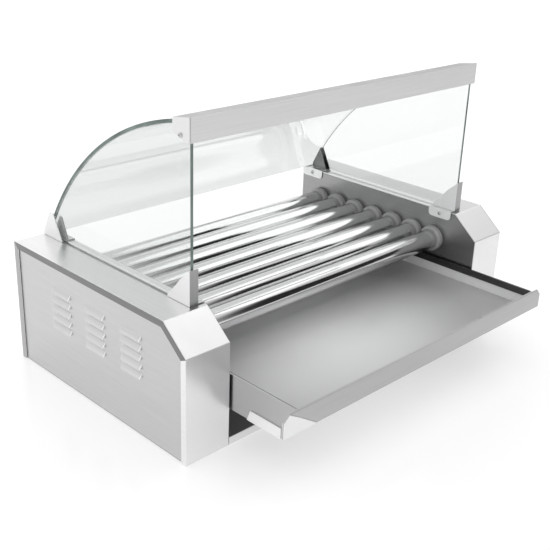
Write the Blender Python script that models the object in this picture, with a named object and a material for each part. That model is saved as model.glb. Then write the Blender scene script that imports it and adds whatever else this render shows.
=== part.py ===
"""Seven-roller hot dog grill with a curved glass hood and a pull-out drip tray.

The frame: X runs along the rollers (left housing at -X), Y runs from the user
to the back, Z is up. The origin is on the underside, in the middle of the
casing's footprint. Lengths are in metres.
"""

import math

import bmesh
import bpy
from mathutils import Matrix

MM = 0.001
GAP = 0.3 * MM
SHEET = 1.2 * MM

# Casing
WIDTH = 580 * MM
DEPTH = 332 * MM
HEIGHT = 161 * MM
HOUSING_WIDTH = 61.5 * MM
CHAMFER_DEPTH = 37.4 * MM
CHAMFER_BOTTOM = 130 * MM
BORDER = 8 * MM
FRONT = -DEPTH / 2
BACK = DEPTH / 2
OUTER_X = WIDTH / 2
WALL_X = OUTER_X - HOUSING_WIDTH
RAIL_HEIGHT = 10 * MM
BACK_PANEL_TOP = 92 * MM

# Louvres in the left side
LOUVRE_FRONTS = (47.7 * MM, -20.6 * MM, -88.8 * MM)
LOUVRE_LENGTH = 37 * MM
LOUVRE_HEIGHT = 7.5 * MM
LOUVRE_DEPTH = 3.2 * MM
LOUVRE_WALL = 0.9 * MM
LOUVRE_ROWS = 5
LOUVRE_TOP_ROW = 124 * MM
LOUVRE_PITCH = 11.6 * MM

# Rollers and their drive
ROLLERS = 7
ROLLER_PITCH = 36.7 * MM
ROLLER_FRONT_Y = -95 * MM
ROLLER_Z = 116.6 * MM
ROLLER_RADIUS = 14 * MM
JOURNAL_RADIUS = 10 * MM
ROLLER_BORE = 8.6 * MM
ROLLER_END_X = 246 * MM
BUSHING_RADIUS = 18.1 * MM
BUSHING_FACE = 9.5 * MM
BUSHING_NECK = 13 * MM
SPROCKET_X = -241 * MM
SPROCKET_WIDTH = 4 * MM
SPROCKET_TEETH = 16
SPROCKET_TIP = 15.5 * MM
SPROCKET_ROOT = 13.2 * MM
CHAIN_CLEARANCE = 0.8 * MM
CHAIN_THICKNESS = 3.5 * MM
MOTOR_Y = 15 * MM
MOTOR_Z = 62 * MM
MOTOR_SHAFT_RADIUS = 4 * MM
HEATER_RADIUS = 4.5 * MM

# Hood
GLASS = 4 * MM
HOOD_RADIUS = 363 * MM
HOOD_CENTRE_Y = -166 * MM
HOOD_CENTRE_Z = 5 * MM
HOOD_HALF = 244 * MM
HOOD_FRONT = -118.5 * MM
HOOD_BOTTOM = HEIGHT + 2.2 * MM
BAR_HALF = 246.5 * MM
BAR_FRONT = -122 * MM
BAR_BACK = -95 * MM
BAR_BOTTOM = 341 * MM
BRACKET_OUTER_X = 248 * MM
BRACKET_INNER_X = 235.8 * MM

# Drip tray, pulled out as it stands at rest
TRAY_HALF = 226 * MM
TRAY_FLOOR = 66 * MM
TRAY_RIM = 90 * MM
TRAY_FRONT = -265.2 * MM
TRAY_BACK = 42 * MM
TRAY_PANEL_HALF = 245 * MM
TRAY_PANEL_BOTTOM = 63 * MM
RUNNER_BOTTOM = 46 * MM
LEDGE_INNER_X = 214 * MM

# Controls on the right side
CONTROL_YS = (-104 * MM, -50 * MM)
KNOB_Z = 92 * MM
SWITCH_Z = 47 * MM
ROCKER_TILT = 6
LAMP_Y = -77 * MM
LAMP_Z = 122 * MM


# --- small helpers -----------------------------------------------------------

def clear_scene():
    """Remove whatever the file holds, so that only the grill is left."""
    for old in list(bpy.data.objects):
        bpy.data.objects.remove(old, do_unlink=True)


def material(name, colour, roughness, metallic=0.0, transmission=0.0):
    """One Principled material."""
    made = bpy.data.materials.new(name)
    made.use_nodes = True
    shader = made.node_tree.nodes["Principled BSDF"]
    shader.inputs["Base Color"].default_value = (*colour, 1.0)
    shader.inputs["Roughness"].default_value = roughness
    shader.inputs["Metallic"].default_value = metallic
    shader.inputs["Transmission Weight"].default_value = transmission
    return made


def add_object(name, mesh, finish):
    """Link a mesh into the scene under the node's name."""
    piece = bpy.data.objects.new(name, mesh)
    bpy.context.scene.collection.objects.link(piece)
    if not mesh.materials:
        mesh.materials.append(finish)
    return piece


def prism(name, outline, axis, low, high, finish):
    """A closed outline extruded along one axis.

    The outline's two coordinates are the other two axes, in XYZ order.
    """
    shape = bmesh.new()
    ends = []
    for level in (low, high):
        ring = []
        for a, b in outline:
            place = [a, b]
            place.insert(axis, level)
            ring.append(shape.verts.new(place))
        shape.faces.new(ring)
        ends.append(ring)
    for index, (a, b) in enumerate(zip(*ends)):
        shape.faces.new((a, ends[0][index - 1], ends[1][index - 1], b))
    bmesh.ops.recalc_face_normals(shape, faces=shape.faces)
    mesh = bpy.data.meshes.new(name)
    shape.to_mesh(mesh)
    shape.free()
    return add_object(name, mesh, finish)


def box(name, low, high, finish):
    """A plain box between two corners."""
    (x0, y0, z0), (x1, y1, z1) = low, high
    outline = [(y0, z0), (y1, z0), (y1, z1), (y0, z1)]
    return prism(name, outline, 0, x0, x1, finish)


def turned(name, profile, centre, axis, finish, segments=24):
    """A solid turned about a line along `axis` through `centre`.

    The profile is a closed list of (distance along the axis, radius).
    """
    shape = bmesh.new()
    across = [i for i in range(3) if i != axis]
    rings = []
    for along, radius in profile:
        count = segments if radius > 0 else 1
        ring = []
        for step in range(count):
            angle = 2 * math.pi * step / segments
            place = list(centre)
            place[axis] = centre[axis] + along
            place[across[0]] += radius * math.cos(angle)
            place[across[1]] += radius * math.sin(angle)
            ring.append(shape.verts.new(place))
        rings.append(ring)
    for ring, following in zip(rings, rings[1:] + rings[:1]):
        if len(ring) == 1 and len(following) == 1:
            continue
        for step in range(segments):
            after = (step + 1) % segments
            if len(ring) == 1:
                shape.faces.new((ring[0], following[after], following[step]))
            elif len(following) == 1:
                shape.faces.new((ring[step], ring[after], following[0]))
            else:
                shape.faces.new((ring[step], ring[after], following[after], following[step]))
    bmesh.ops.recalc_face_normals(shape, faces=shape.faces)
    mesh = bpy.data.meshes.new(name)
    shape.to_mesh(mesh)
    shape.free()
    mesh.shade_smooth()
    mesh.set_sharp_from_angle(angle=math.radians(35))
    return add_object(name, mesh, finish)


def set_origin(piece, point):
    """Move a piece's origin to a point on its joint's axis; its shape stays put."""
    piece.data.transform(Matrix.Translation([-value for value in point]))
    piece.location = point
    return piece


def rod(name, centre, axis, low, high, radius, finish, segments=24):
    """A solid cylinder along one axis, from low to high."""
    profile = [(low, 0), (low, radius), (high, radius), (high, 0)]
    place = list(centre)
    place[axis] = 0.0
    return turned(name, profile, place, axis, finish, segments)


def combine(target, tools, operation):
    """Join pieces to the target, or cut them out of it, and delete them."""
    for tool in tools:
        step = target.modifiers.new("combine", "BOOLEAN")
        step.operation = operation
        step.object = tool
        graph = bpy.context.evaluated_depsgraph_get()
        mesh = bpy.data.meshes.new_from_object(target.evaluated_get(graph))
        target.modifiers.clear()
        target.data = mesh
        bpy.data.objects.remove(tool, do_unlink=True)
    target.data.name = target.name
    return target


def inset(outline, distance):
    """A convex outline, given counter-clockwise, moved inward by a distance."""
    lines = []
    for (ax, ay), (bx, by) in zip(outline, outline[1:] + outline[:1]):
        length = math.hypot(bx - ax, by - ay)
        nx, ny = -(by - ay) / length, (bx - ax) / length
        lines.append((nx, ny, nx * ax + ny * ay + distance))
    points = []
    for (a1, b1, c1), (a2, b2, c2) in zip(lines[-1:] + lines[:-1], lines):
        det = a1 * b2 - a2 * b1
        points.append(((c1 * b2 - c2 * b1) / det, (a1 * c2 - a2 * c1) / det))
    return points


def casing_outline(distance=0.0, bottom=0.0):
    """The housing's side outline in (y, z), inset by a distance."""
    full = [
        (FRONT, 0.0),
        (BACK, 0.0),
        (BACK, HEIGHT),
        (FRONT + CHAMFER_DEPTH, HEIGHT),
        (FRONT, CHAMFER_BOTTOM),
    ]
    points = inset(full, distance)
    points[0] = (points[0][0], bottom)
    points[1] = (points[1][0], bottom)
    return points


def roller_y(index):
    """The Y of a roller's axis; roller 0 is at the front."""
    return ROLLER_FRONT_Y + index * ROLLER_PITCH


def hood_arc(radius, start_y, end_y, steps=20):
    """Points (y, z) on the hood's arc between two Y values."""
    first = math.acos((start_y - HOOD_CENTRE_Y) / radius)
    last = math.acos((end_y - HOOD_CENTRE_Y) / radius)
    points = []
    for step in range(steps + 1):
        angle = first + (last - first) * step / steps
        y = HOOD_CENTRE_Y + radius * math.cos(angle)
        points.append((y, HOOD_CENTRE_Z + radius * math.sin(angle)))
    return points


def hood_y(radius, z):
    """Where the hood's arc comes down to a height."""
    return HOOD_CENTRE_Y + math.sqrt(radius ** 2 - (z - HOOD_CENTRE_Z) ** 2)


# --- casing ------------------------------------------------------------------

def make_shell(side, sign, steel):
    """The folded front, chamfer, top and back of one housing, with its border."""
    below = -20 * MM
    shell = prism(f"{side}_shell", casing_outline(), 0, sign * OUTER_X, sign * WALL_X, steel)
    inside = casing_outline(SHEET, below)
    hollow = prism("hollow", inside, 0, sign * (OUTER_X - SHEET), sign * (WALL_X - BORDER), steel)
    opening = casing_outline(BORDER, below)
    window = prism("window", opening, 0, sign * (OUTER_X + BORDER), sign * (OUTER_X - BORDER), steel)
    return combine(shell, [hollow, window], "DIFFERENCE")


def make_inner_wall(side, sign, steel):
    """The wall that carries the rollers, with the ledge that the tray runs on."""
    inner, outer = sign * WALL_X, sign * (WALL_X + SHEET)
    wall = prism(f"{side}_inner_wall", casing_outline(SHEET + GAP, SHEET + GAP), 0, inner, outer, steel)
    holes = []
    for index in range(ROLLERS):
        centre = (0.0, roller_y(index), ROLLER_Z)
        near, far = sign * WALL_X - BORDER, sign * WALL_X + BORDER
        holes.append(rod("hole", centre, 0, near, far, BUSHING_NECK + GAP, steel))
    combine(wall, holes, "DIFFERENCE")
    ledge_top = RUNNER_BOTTOM - GAP
    ledge = box(
        "ledge",
        (sign * LEDGE_INNER_X, FRONT + 3 * MM, ledge_top - SHEET),
        (sign * (WALL_X + SHEET / 2), BACK - 4 * MM, ledge_top),
        steel,
    )
    return combine(wall, [ledge], "UNION")


def louvre_wedge(y_front, z_centre, x_face, out, shrink, steel):
    """One louvre's wedge: open below, closing to nothing at its top edge."""
    length = LOUVRE_LENGTH - 2 * shrink
    low, high = z_centre - LOUVRE_HEIGHT / 2, z_centre + LOUVRE_HEIGHT / 2
    mouth = low - 3 * MM if shrink else low
    back = x_face + 1.5 * shrink
    tip = x_face - out
    outline = [(back, mouth), (back, high - shrink), (tip, low + SHEET), (tip, mouth)]
    return prism("wedge", outline, 1, y_front + shrink, y_front + shrink + length, steel)


def make_louvred_panel(steel):
    """The left side panel, behind the border, with three columns of louvres."""
    face = -OUTER_X + SHEET + GAP
    outline = casing_outline(SHEET + GAP, SHEET + GAP)
    panel = prism("left_side_panel", outline, 0, face, face + SHEET, steel)
    for y_front in LOUVRE_FRONTS:
        for row in range(LOUVRE_ROWS):
            z = LOUVRE_TOP_ROW - row * LOUVRE_PITCH
            hood = louvre_wedge(y_front, z, face + SHEET / 2, LOUVRE_DEPTH + SHEET / 2, 0.0, steel)
            combine(panel, [hood], "UNION")
            depth = LOUVRE_DEPTH + SHEET - LOUVRE_WALL
            inside = louvre_wedge(y_front, z, face + SHEET, depth, LOUVRE_WALL, steel)
            combine(panel, [inside], "DIFFERENCE")
    return panel


def make_control_panel(steel):
    """The right side panel, with holes for the controls."""
    face = OUTER_X - SHEET - GAP
    outline = casing_outline(SHEET + GAP, SHEET + GAP)
    panel = prism("right_side_panel", outline, 0, face - SHEET, face, steel)
    span = (face - BORDER, face + BORDER)
    holes = [rod("hole", (0.0, y, KNOB_Z), 0, *span, 5 * MM, steel) for y in CONTROL_YS]
    holes.append(rod("hole", (0.0, LAMP_Y, LAMP_Z), 0, *span, 5 * MM, steel))
    for y in CONTROL_YS:
        low = (span[0], y - 13 * MM, SWITCH_Z - 9 * MM)
        holes.append(box("hole", low, (span[1], y + 13 * MM, SWITCH_Z + 9 * MM), steel))
    return combine(panel, holes, "DIFFERENCE")


def make_base_pan(steel):
    """The floor of the machine, with its front and back lips between the housings."""
    inner = SHEET + 2 * GAP
    low, high = (-OUTER_X + inner, FRONT + inner, 0), (OUTER_X - inner, BACK - inner, SHEET)
    pan = box("base_pan", low, high, steel)
    half = WALL_X - 2 * GAP
    tongue = box("tongue", (-half, FRONT, 0), (half, BACK, SHEET), steel)
    front_lip = box("lip", (-half, FRONT, 0), (half, FRONT + SHEET, RAIL_HEIGHT), steel)
    back_lip = box("lip", (-half, BACK - SHEET, 0), (half, BACK, RAIL_HEIGHT), steel)
    return combine(pan, [tongue, front_lip, back_lip], "UNION")


def make_back_panel(steel):
    """The low wall behind the rollers, with its top edge folded inward."""
    half = WALL_X - GAP
    bottom = RAIL_HEIGHT + GAP
    panel = box("back_panel", (-half, BACK - SHEET, bottom), (half, BACK, BACK_PANEL_TOP), steel)
    low = (-half, BACK - 14 * MM, BACK_PANEL_TOP - SHEET)
    fold = box("fold", low, (half, BACK, BACK_PANEL_TOP), steel)
    return combine(panel, [fold], "UNION")


# --- rollers and drive -------------------------------------------------------

def make_rollers(chrome, collar, steel):
    """Seven hollow rollers with their bushings and sprockets."""
    shoulder = WALL_X - BUSHING_FACE - 2 * GAP
    end = ROLLER_END_X
    tube = [
        (-end, ROLLER_BORE), (-end, JOURNAL_RADIUS), (-shoulder, JOURNAL_RADIUS), (-shoulder, ROLLER_RADIUS),
        (shoulder, ROLLER_RADIUS), (shoulder, JOURNAL_RADIUS), (end, JOURNAL_RADIUS), (end, ROLLER_BORE),
    ]
    bore = JOURNAL_RADIUS + GAP
    face = WALL_X - GAP
    bushing = [
        (WALL_X + 4 * MM, bore), (WALL_X + 4 * MM, BUSHING_NECK), (face, BUSHING_NECK), (face, BUSHING_RADIUS),
        (face - 6 * MM, BUSHING_RADIUS), (face - BUSHING_FACE, BUSHING_RADIUS - 2.5 * MM),
        (face - BUSHING_FACE, bore),
    ]
    mirrored = [(-along, radius) for along, radius in bushing]
    for index in range(ROLLERS):
        number = index + 1
        centre = (0.0, roller_y(index), ROLLER_Z)
        set_origin(turned(f"roller_{number}", tube, centre, 0, chrome), centre)
        turned(f"right_bushing_{number}", bushing, centre, 0, collar, 20)
        turned(f"left_bushing_{number}", mirrored, centre, 0, collar, 20)
        wheel = make_sprocket(f"sprocket_{number}", centre[1], centre[2], JOURNAL_RADIUS + GAP, steel)
        set_origin(wheel, centre)


def sprocket_outline(y, z):
    """A toothed outline in (y, z)."""
    points = []
    for step in range(2 * SPROCKET_TEETH):
        radius = SPROCKET_TIP if step % 2 == 0 else SPROCKET_ROOT
        angle = math.pi * step / SPROCKET_TEETH
        points.append((y + radius * math.cos(angle), z + radius * math.sin(angle)))
    return points


def make_sprocket(name, y, z, bore, steel):
    """A toothed wheel on the drive plane, bored for its shaft."""
    low, high = SPROCKET_X - SPROCKET_WIDTH / 2, SPROCKET_X + SPROCKET_WIDTH / 2
    wheel = prism(name, sprocket_outline(y, z), 0, low, high, steel)
    if bore:
        hole = rod("hole", (0.0, y, z), 0, low - BORDER, high + BORDER, bore, steel)
        combine(wheel, [hole], "DIFFERENCE")
    return wheel


def belt_outline(radius):
    """The taut line around the end sprockets and the motor's sprocket below them."""
    centres = [(roller_y(ROLLERS - 1), ROLLER_Z), (roller_y(0), ROLLER_Z), (MOTOR_Y, MOTOR_Z)]
    points = []
    for here, following in zip(centres, centres[1:] + centres[:1]):
        before = centres[centres.index(here) - 1]
        start = math.atan2(here[1] - before[1], here[0] - before[0]) - math.pi / 2
        stop = math.atan2(following[1] - here[1], following[0] - here[0]) - math.pi / 2
        while stop < start:
            stop += 2 * math.pi
        steps = 8
        for step in range(steps + 1):
            angle = start + (stop - start) * step / steps
            y = here[0] + radius * math.cos(angle)
            points.append((y, here[1] + radius * math.sin(angle)))
    return points


def make_chain(steel):
    """The drive chain as one closed band around all the sprockets."""
    inner = SPROCKET_TIP + CHAIN_CLEARANCE
    low, high = SPROCKET_X - SPROCKET_WIDTH / 2, SPROCKET_X + SPROCKET_WIDTH / 2
    band = prism("drive_chain", belt_outline(inner + CHAIN_THICKNESS), 0, low, high, steel)
    middle = prism("middle", belt_outline(inner), 0, low - BORDER, high + BORDER, steel)
    return combine(band, [middle], "DIFFERENCE")


def make_motor(painted, steel):
    """The gear motor on its foot, and the sprocket on its output shaft."""
    far, near = -284 * MM, -250 * MM
    half, floor = 30 * MM, SHEET + GAP
    low, high = (far, MOTOR_Y - half, MOTOR_Z - 28 * MM), (near, MOTOR_Y + half, MOTOR_Z + 28 * MM)
    body = box("gear_motor", low, high, painted)
    low, high = (far, MOTOR_Y - 40 * MM, floor), (near, MOTOR_Y + 40 * MM, floor + 2 * MM)
    foot = box("foot", low, high, painted)
    low, high = (far + 4 * MM, MOTOR_Y - 20 * MM, 2 * MM), (near - 4 * MM, MOTOR_Y + 20 * MM, MOTOR_Z)
    post = box("post", low, high, painted)
    combine(body, [foot, post], "UNION")
    wheel = make_sprocket("drive_sprocket", MOTOR_Y, MOTOR_Z, 0.0, steel)
    centre = (SPROCKET_X, MOTOR_Y, MOTOR_Z)
    shaft = rod("shaft", centre, 0, near + GAP, SPROCKET_X + 4 * MM, MOTOR_SHAFT_RADIUS, steel)
    set_origin(combine(wheel, [shaft], "UNION"), centre)


def make_heaters(steel):
    """One terminal bar with a heating rod reaching into each roller."""
    near, far = 254 * MM, 261 * MM
    first, last = roller_y(0), roller_y(ROLLERS - 1)
    low = (near, first - 26 * MM, ROLLER_Z - 8 * MM)
    bar = box("heater_bank", low, (far, last + 26 * MM, ROLLER_Z + 8 * MM), steel)
    parts = []
    for y in (first - 25 * MM, last + 20 * MM):
        low = (WALL_X + SHEET + GAP, y, ROLLER_Z - 5 * MM)
        parts.append(box("leg", low, (near + MM, y + 5 * MM, ROLLER_Z + 5 * MM), steel))
    for index in range(ROLLERS):
        centre = (0.0, roller_y(index), ROLLER_Z)
        parts.append(rod("rod", centre, 0, -205 * MM, near + MM, HEATER_RADIUS, steel, 12))
    return combine(bar, parts, "UNION")


# --- hood --------------------------------------------------------------------

def make_hood_glass(glass):
    """The bent back glass and the two flat side glasses."""
    back = hood_y(HOOD_RADIUS, HOOD_BOTTOM)
    back_inner = hood_y(HOOD_RADIUS - GLASS, HOOD_BOTTOM)
    outer = hood_arc(HOOD_RADIUS, HOOD_FRONT, back)
    inner = hood_arc(HOOD_RADIUS - GLASS, HOOD_FRONT, back_inner)
    prism("curved_glass", outer + inner[::-1], 0, -HOOD_HALF, HOOD_HALF, glass)
    under = HOOD_RADIUS - GLASS - GAP
    for side, sign in (("left", -1), ("right", 1)):
        outline = hood_arc(under, HOOD_FRONT, hood_y(under, HOOD_BOTTOM)) + [(HOOD_FRONT, HOOD_BOTTOM)]
        prism(f"{side}_side_glass", outline, 0, sign * HOOD_HALF, sign * (HOOD_HALF - GLASS), glass)


def make_top_bar(steel):
    """The folded bar along the hood's front edge, and its two end caps."""
    rise = 1.4 * MM
    front_top = hood_arc(HOOD_RADIUS + rise, BAR_FRONT + SHEET, BAR_BACK, 1)
    crown = hood_arc(HOOD_RADIUS + rise + SHEET, BAR_FRONT, BAR_BACK, 1)
    outline = [(BAR_FRONT, BAR_BOTTOM), *crown, front_top[1], front_top[0], (BAR_FRONT + SHEET, BAR_BOTTOM)]
    prism("top_bar", outline, 0, -BAR_HALF, BAR_HALF, steel)
    cap = [
        (BAR_FRONT, BAR_BOTTOM),
        crown[0],
        crown[1],
        (BAR_BACK, crown[1][1] - 15 * MM),
        (BAR_BACK - 14 * MM, BAR_BOTTOM + 2 * MM),
        (BAR_BACK - 24 * MM, BAR_BOTTOM),
    ]
    for side, sign in (("left", -1), ("right", 1)):
        near = sign * (BAR_HALF + GAP)
        prism(f"{side}_bar_cap", cap, 0, near, near + sign * SHEET, steel)


def front_gusset():
    """The front bracket's side: tall at the front, hollowed towards its back foot."""
    foot = HEIGHT + GAP
    return [
        (-122 * MM, foot), (-84 * MM, foot), (-84 * MM, foot + 3 * MM), (-97 * MM, 178 * MM),
        (-105 * MM, 188 * MM), (-117 * MM, 199 * MM), (-122 * MM, 203 * MM),
    ]


def back_gusset():
    """The back bracket's outer side, which follows the glass up."""
    foot = HEIGHT + GAP
    return [
        (124 * MM, foot), (165 * MM, foot), (165 * MM, foot + 4 * MM), (150 * MM, 194 * MM),
        (141 * MM, 194 * MM),
    ]


def back_gusset_inner():
    """The back bracket's inner side, which stops under the curved glass."""
    foot = HEIGHT + GAP
    limit = HOOD_RADIUS - GLASS - 4 * GAP
    top = 190 * MM
    low = 170 * MM
    back = hood_y(limit, low)
    return [(124 * MM, foot), (back, foot), (back, low), (hood_y(limit, top), top), (136 * MM, top)]


def tab_outline(y_low, y_high):
    """The bracket's tab, folded down over the inner wall, with rounded corners."""
    top = HEIGHT + GAP + SHEET
    bottom = 149 * MM
    corner = 5 * MM
    return [
        (y_high, top), (y_low, top), (y_low, bottom + corner), (y_low + 0.3 * corner, bottom + 0.3 * corner),
        (y_low + corner, bottom), (y_high - corner, bottom), (y_high - 0.3 * corner, bottom + 0.3 * corner),
        (y_high, bottom + corner),
    ]


def make_bracket(name, sign, outer, inner, y_low, y_high, closed_front, steel):
    """One hood bracket: two sides, a foot, a tab and, at the front, a closing flange."""
    foot_low, foot_high = HEIGHT + GAP, HEIGHT + GAP + SHEET
    edge = WALL_X - GAP
    low, high = (sign * BRACKET_OUTER_X, y_low, foot_low), (sign * (edge - SHEET), y_high, foot_high)
    foot = box(name, low, high, steel)
    parts = [
        prism("side", outer, 0, sign * BRACKET_OUTER_X, sign * (BRACKET_OUTER_X - SHEET), steel),
        prism("side", inner, 0, sign * BRACKET_INNER_X, sign * (BRACKET_INNER_X + SHEET), steel),
        prism("tab", tab_outline(y_low, y_high), 0, sign * edge, sign * (edge - SHEET), steel),
    ]
    if closed_front:
        low = (sign * BRACKET_OUTER_X, y_low, foot_low)
        parts.append(box("flange", low, (sign * BRACKET_INNER_X, y_low + SHEET, 203 * MM), steel))
    return combine(foot, parts, "UNION")


def make_brackets(steel):
    """The four brackets that stand the hood on the housings."""
    for side, sign in (("left", -1), ("right", 1)):
        outer, inner = front_gusset(), front_gusset()
        make_bracket(f"{side}_front_bracket", sign, outer, inner, -122 * MM, -84 * MM, True, steel)
        outer, inner = back_gusset(), back_gusset_inner()
        make_bracket(f"{side}_back_bracket", sign, outer, inner, 124 * MM, 165 * MM, False, steel)


# --- tray --------------------------------------------------------------------

def make_tray(steel):
    """The drip tray: pan, runners, side tabs and the wide front panel."""
    panel_back = TRAY_FRONT + SHEET
    corner = 8 * MM
    panel_outline = [
        (-TRAY_PANEL_HALF, TRAY_PANEL_BOTTOM), (TRAY_PANEL_HALF, TRAY_PANEL_BOTTOM),
        (TRAY_PANEL_HALF, TRAY_RIM - corner), (TRAY_PANEL_HALF - corner, TRAY_RIM),
        (-TRAY_PANEL_HALF + corner, TRAY_RIM), (-TRAY_PANEL_HALF, TRAY_RIM - corner),
    ]
    tray = prism("drip_tray", panel_outline, 1, TRAY_FRONT, panel_back, steel)
    half = TRAY_HALF
    bottom = TRAY_PANEL_BOTTOM
    parts = [
        box("floor", (-half, TRAY_FRONT, TRAY_FLOOR), (half, TRAY_BACK, TRAY_FLOOR + SHEET), steel),
        box("back", (-half, TRAY_BACK - SHEET, TRAY_FLOOR), (half, TRAY_BACK, TRAY_RIM), steel),
        box("lip", (-half, TRAY_FRONT, bottom), (half, TRAY_FRONT + 9 * MM, bottom + SHEET), steel),
        box("hem", (-half, TRAY_FRONT, TRAY_RIM - 3 * MM), (half, TRAY_FRONT + 2 * SHEET, TRAY_RIM), steel),
    ]
    runner_front = TRAY_FRONT + 21 * MM
    for sign in (-1, 1):
        wall = (sign * (half - SHEET), TRAY_FRONT, TRAY_FLOOR)
        parts.append(box("wall", wall, (sign * half, TRAY_BACK, TRAY_RIM), steel))
        hem = (sign * (half - 2 * SHEET), TRAY_FRONT, TRAY_RIM - 9 * MM)
        parts.append(box("rim", hem, (sign * half, TRAY_BACK, TRAY_RIM), steel))
        runner = (sign * (half - SHEET), runner_front, RUNNER_BOTTOM)
        parts.append(box("runner", runner, (sign * half, TRAY_BACK, TRAY_FLOOR + SHEET), steel))
        tab = [
            (runner_front, RUNNER_BOTTOM), (runner_front + 51 * MM, RUNNER_BOTTOM),
            (runner_front + 46 * MM, RUNNER_BOTTOM + 13 * MM), (runner_front, RUNNER_BOTTOM + 13 * MM),
        ]
        parts.append(prism("tab", tab, 0, sign * (half - SHEET / 2), sign * (half + MM), steel))
    combine(tray, parts, "UNION")
    return set_origin(tray, (0.0, TRAY_FRONT, RUNNER_BOTTOM))


# --- controls ----------------------------------------------------------------

def make_controls(black, red, grey):
    """Two thermostat knobs, two rocker switches, a pilot lamp and what is behind them."""
    face = OUTER_X - SHEET - GAP
    knob = [
        (face - 5 * MM, 0), (face - 5 * MM, 3 * MM), (face + 0.8 * MM, 3 * MM), (face + 0.8 * MM, 19 * MM),
        (face + 3.5 * MM, 19 * MM), (face + 4.5 * MM, 15 * MM), (face + 15 * MM, 13.5 * MM),
        (face + 16 * MM, 12 * MM), (face + 16 * MM, 0),
    ]
    for number, y in enumerate(CONTROL_YS, 1):
        dial = turned(f"thermostat_knob_{number}", knob, (0.0, y, KNOB_Z), 0, black)
        set_origin(dial, (face, y, KNOB_Z))
        make_switch(number, y, face, black, red)
    lamp = [
        (face - 8 * MM, 0), (face - 8 * MM, 4.6 * MM), (face + GAP, 4.6 * MM), (face + GAP, 6.5 * MM),
        (face + 2 * MM, 6.5 * MM), (face + 4 * MM, 4 * MM), (face + 4.6 * MM, 0),
    ]
    turned("pilot_lamp", lamp, (0.0, LAMP_Y, LAMP_Z), 0, red, 20)
    far = face - 5.3 * MM
    low = (far - 22 * MM, CONTROL_YS[0] - 20 * MM, KNOB_Z - 18 * MM)
    box("thermostat_block", low, (far, CONTROL_YS[1] + 20 * MM, KNOB_Z + 10 * MM), grey)


def make_switch(number, y, face, black, red):
    """A rocker switch: its frame through the panel, and the rocker on its pivot."""
    frame = box(
        f"switch_frame_{number}",
        (face + GAP, y - 15 * MM, SWITCH_Z - 11 * MM),
        (face + 2.3 * MM, y + 15 * MM, SWITCH_Z + 11 * MM),
        black,
    )
    body = box(
        "body",
        (face - 18 * MM, y - 12.7 * MM, SWITCH_Z - 8.7 * MM),
        (face + MM, y + 12.7 * MM, SWITCH_Z + 8.7 * MM),
        black,
    )
    combine(frame, [body], "UNION")
    well = box(
        "well",
        (face - 9 * MM, y - 11.5 * MM, SWITCH_Z - 7.5 * MM),
        (face + 5 * MM, y + 11.5 * MM, SWITCH_Z + 7.5 * MM),
        black,
    )
    combine(frame, [well], "DIFFERENCE")
    pivot = face - 1.5 * MM
    half_outline = [(4 * MM, 0.0), (5.5 * MM, 9.4 * MM), (2 * MM, 10 * MM), (-4.5 * MM, 3 * MM)]
    mirrored = [(out, -along) for out, along in half_outline[:0:-1]]
    tilt = math.radians(-ROCKER_TILT)
    outline = []
    for out, along in half_outline + mirrored:
        x = pivot + out * math.cos(tilt) - along * math.sin(tilt)
        outline.append((x, y + out * math.sin(tilt) + along * math.cos(tilt)))
    rocker = prism(f"switch_rocker_{number}", outline, 2, SWITCH_Z - 7 * MM, SWITCH_Z + 7 * MM, red)
    set_origin(rocker, (pivot, y, SWITCH_Z))


def make_cable_gland(black):
    """The ring on the back of the right housing where the mains lead goes in."""
    at = BACK + GAP
    profile = [
        (at, 4 * MM), (at, 10 * MM), (at + 3 * MM, 10 * MM), (at + 3 * MM, 7.5 * MM),
        (at + 11 * MM, 6.5 * MM), (at + 11 * MM, 4 * MM),
    ]
    turned("cable_gland", profile, (259 * MM, 0.0, 32 * MM), 1, black, 20)


def main():
    clear_scene()
    steel = material("brushed_steel", (0.72, 0.72, 0.72), 0.32, 1.0)
    dark_steel = material("dull_steel", (0.45, 0.45, 0.46), 0.45, 1.0)
    chrome = material("polished_steel", (0.82, 0.82, 0.83), 0.12, 1.0)
    collar = material("grey_collar", (0.42, 0.42, 0.42), 0.5)
    glass = material("clear_glass", (0.93, 0.97, 0.95), 0.02, 0.0, 1.0)
    black = material("black_plastic", (0.03, 0.03, 0.03), 0.45)
    red = material("red_plastic", (0.6, 0.03, 0.02), 0.3)
    painted = material("grey_paint", (0.3, 0.31, 0.33), 0.5)
    for side, sign in (("left", -1), ("right", 1)):
        make_shell(side, sign, steel)
        make_inner_wall(side, sign, steel)
    make_louvred_panel(steel)
    make_control_panel(steel)
    make_base_pan(dark_steel)
    make_back_panel(steel)
    make_rollers(chrome, collar, dark_steel)
    make_chain(dark_steel)
    make_motor(painted, dark_steel)
    make_heaters(dark_steel)
    make_hood_glass(glass)
    make_top_bar(steel)
    make_brackets(steel)
    make_tray(steel)
    make_controls(black, red, painted)
    make_cable_gland(black)


main()
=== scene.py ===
"""Looks of the seven-roller hot dog grill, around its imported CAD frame. Metres."""
import math

import bmesh
import bpy
from mathutils import Matrix, Vector


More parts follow.
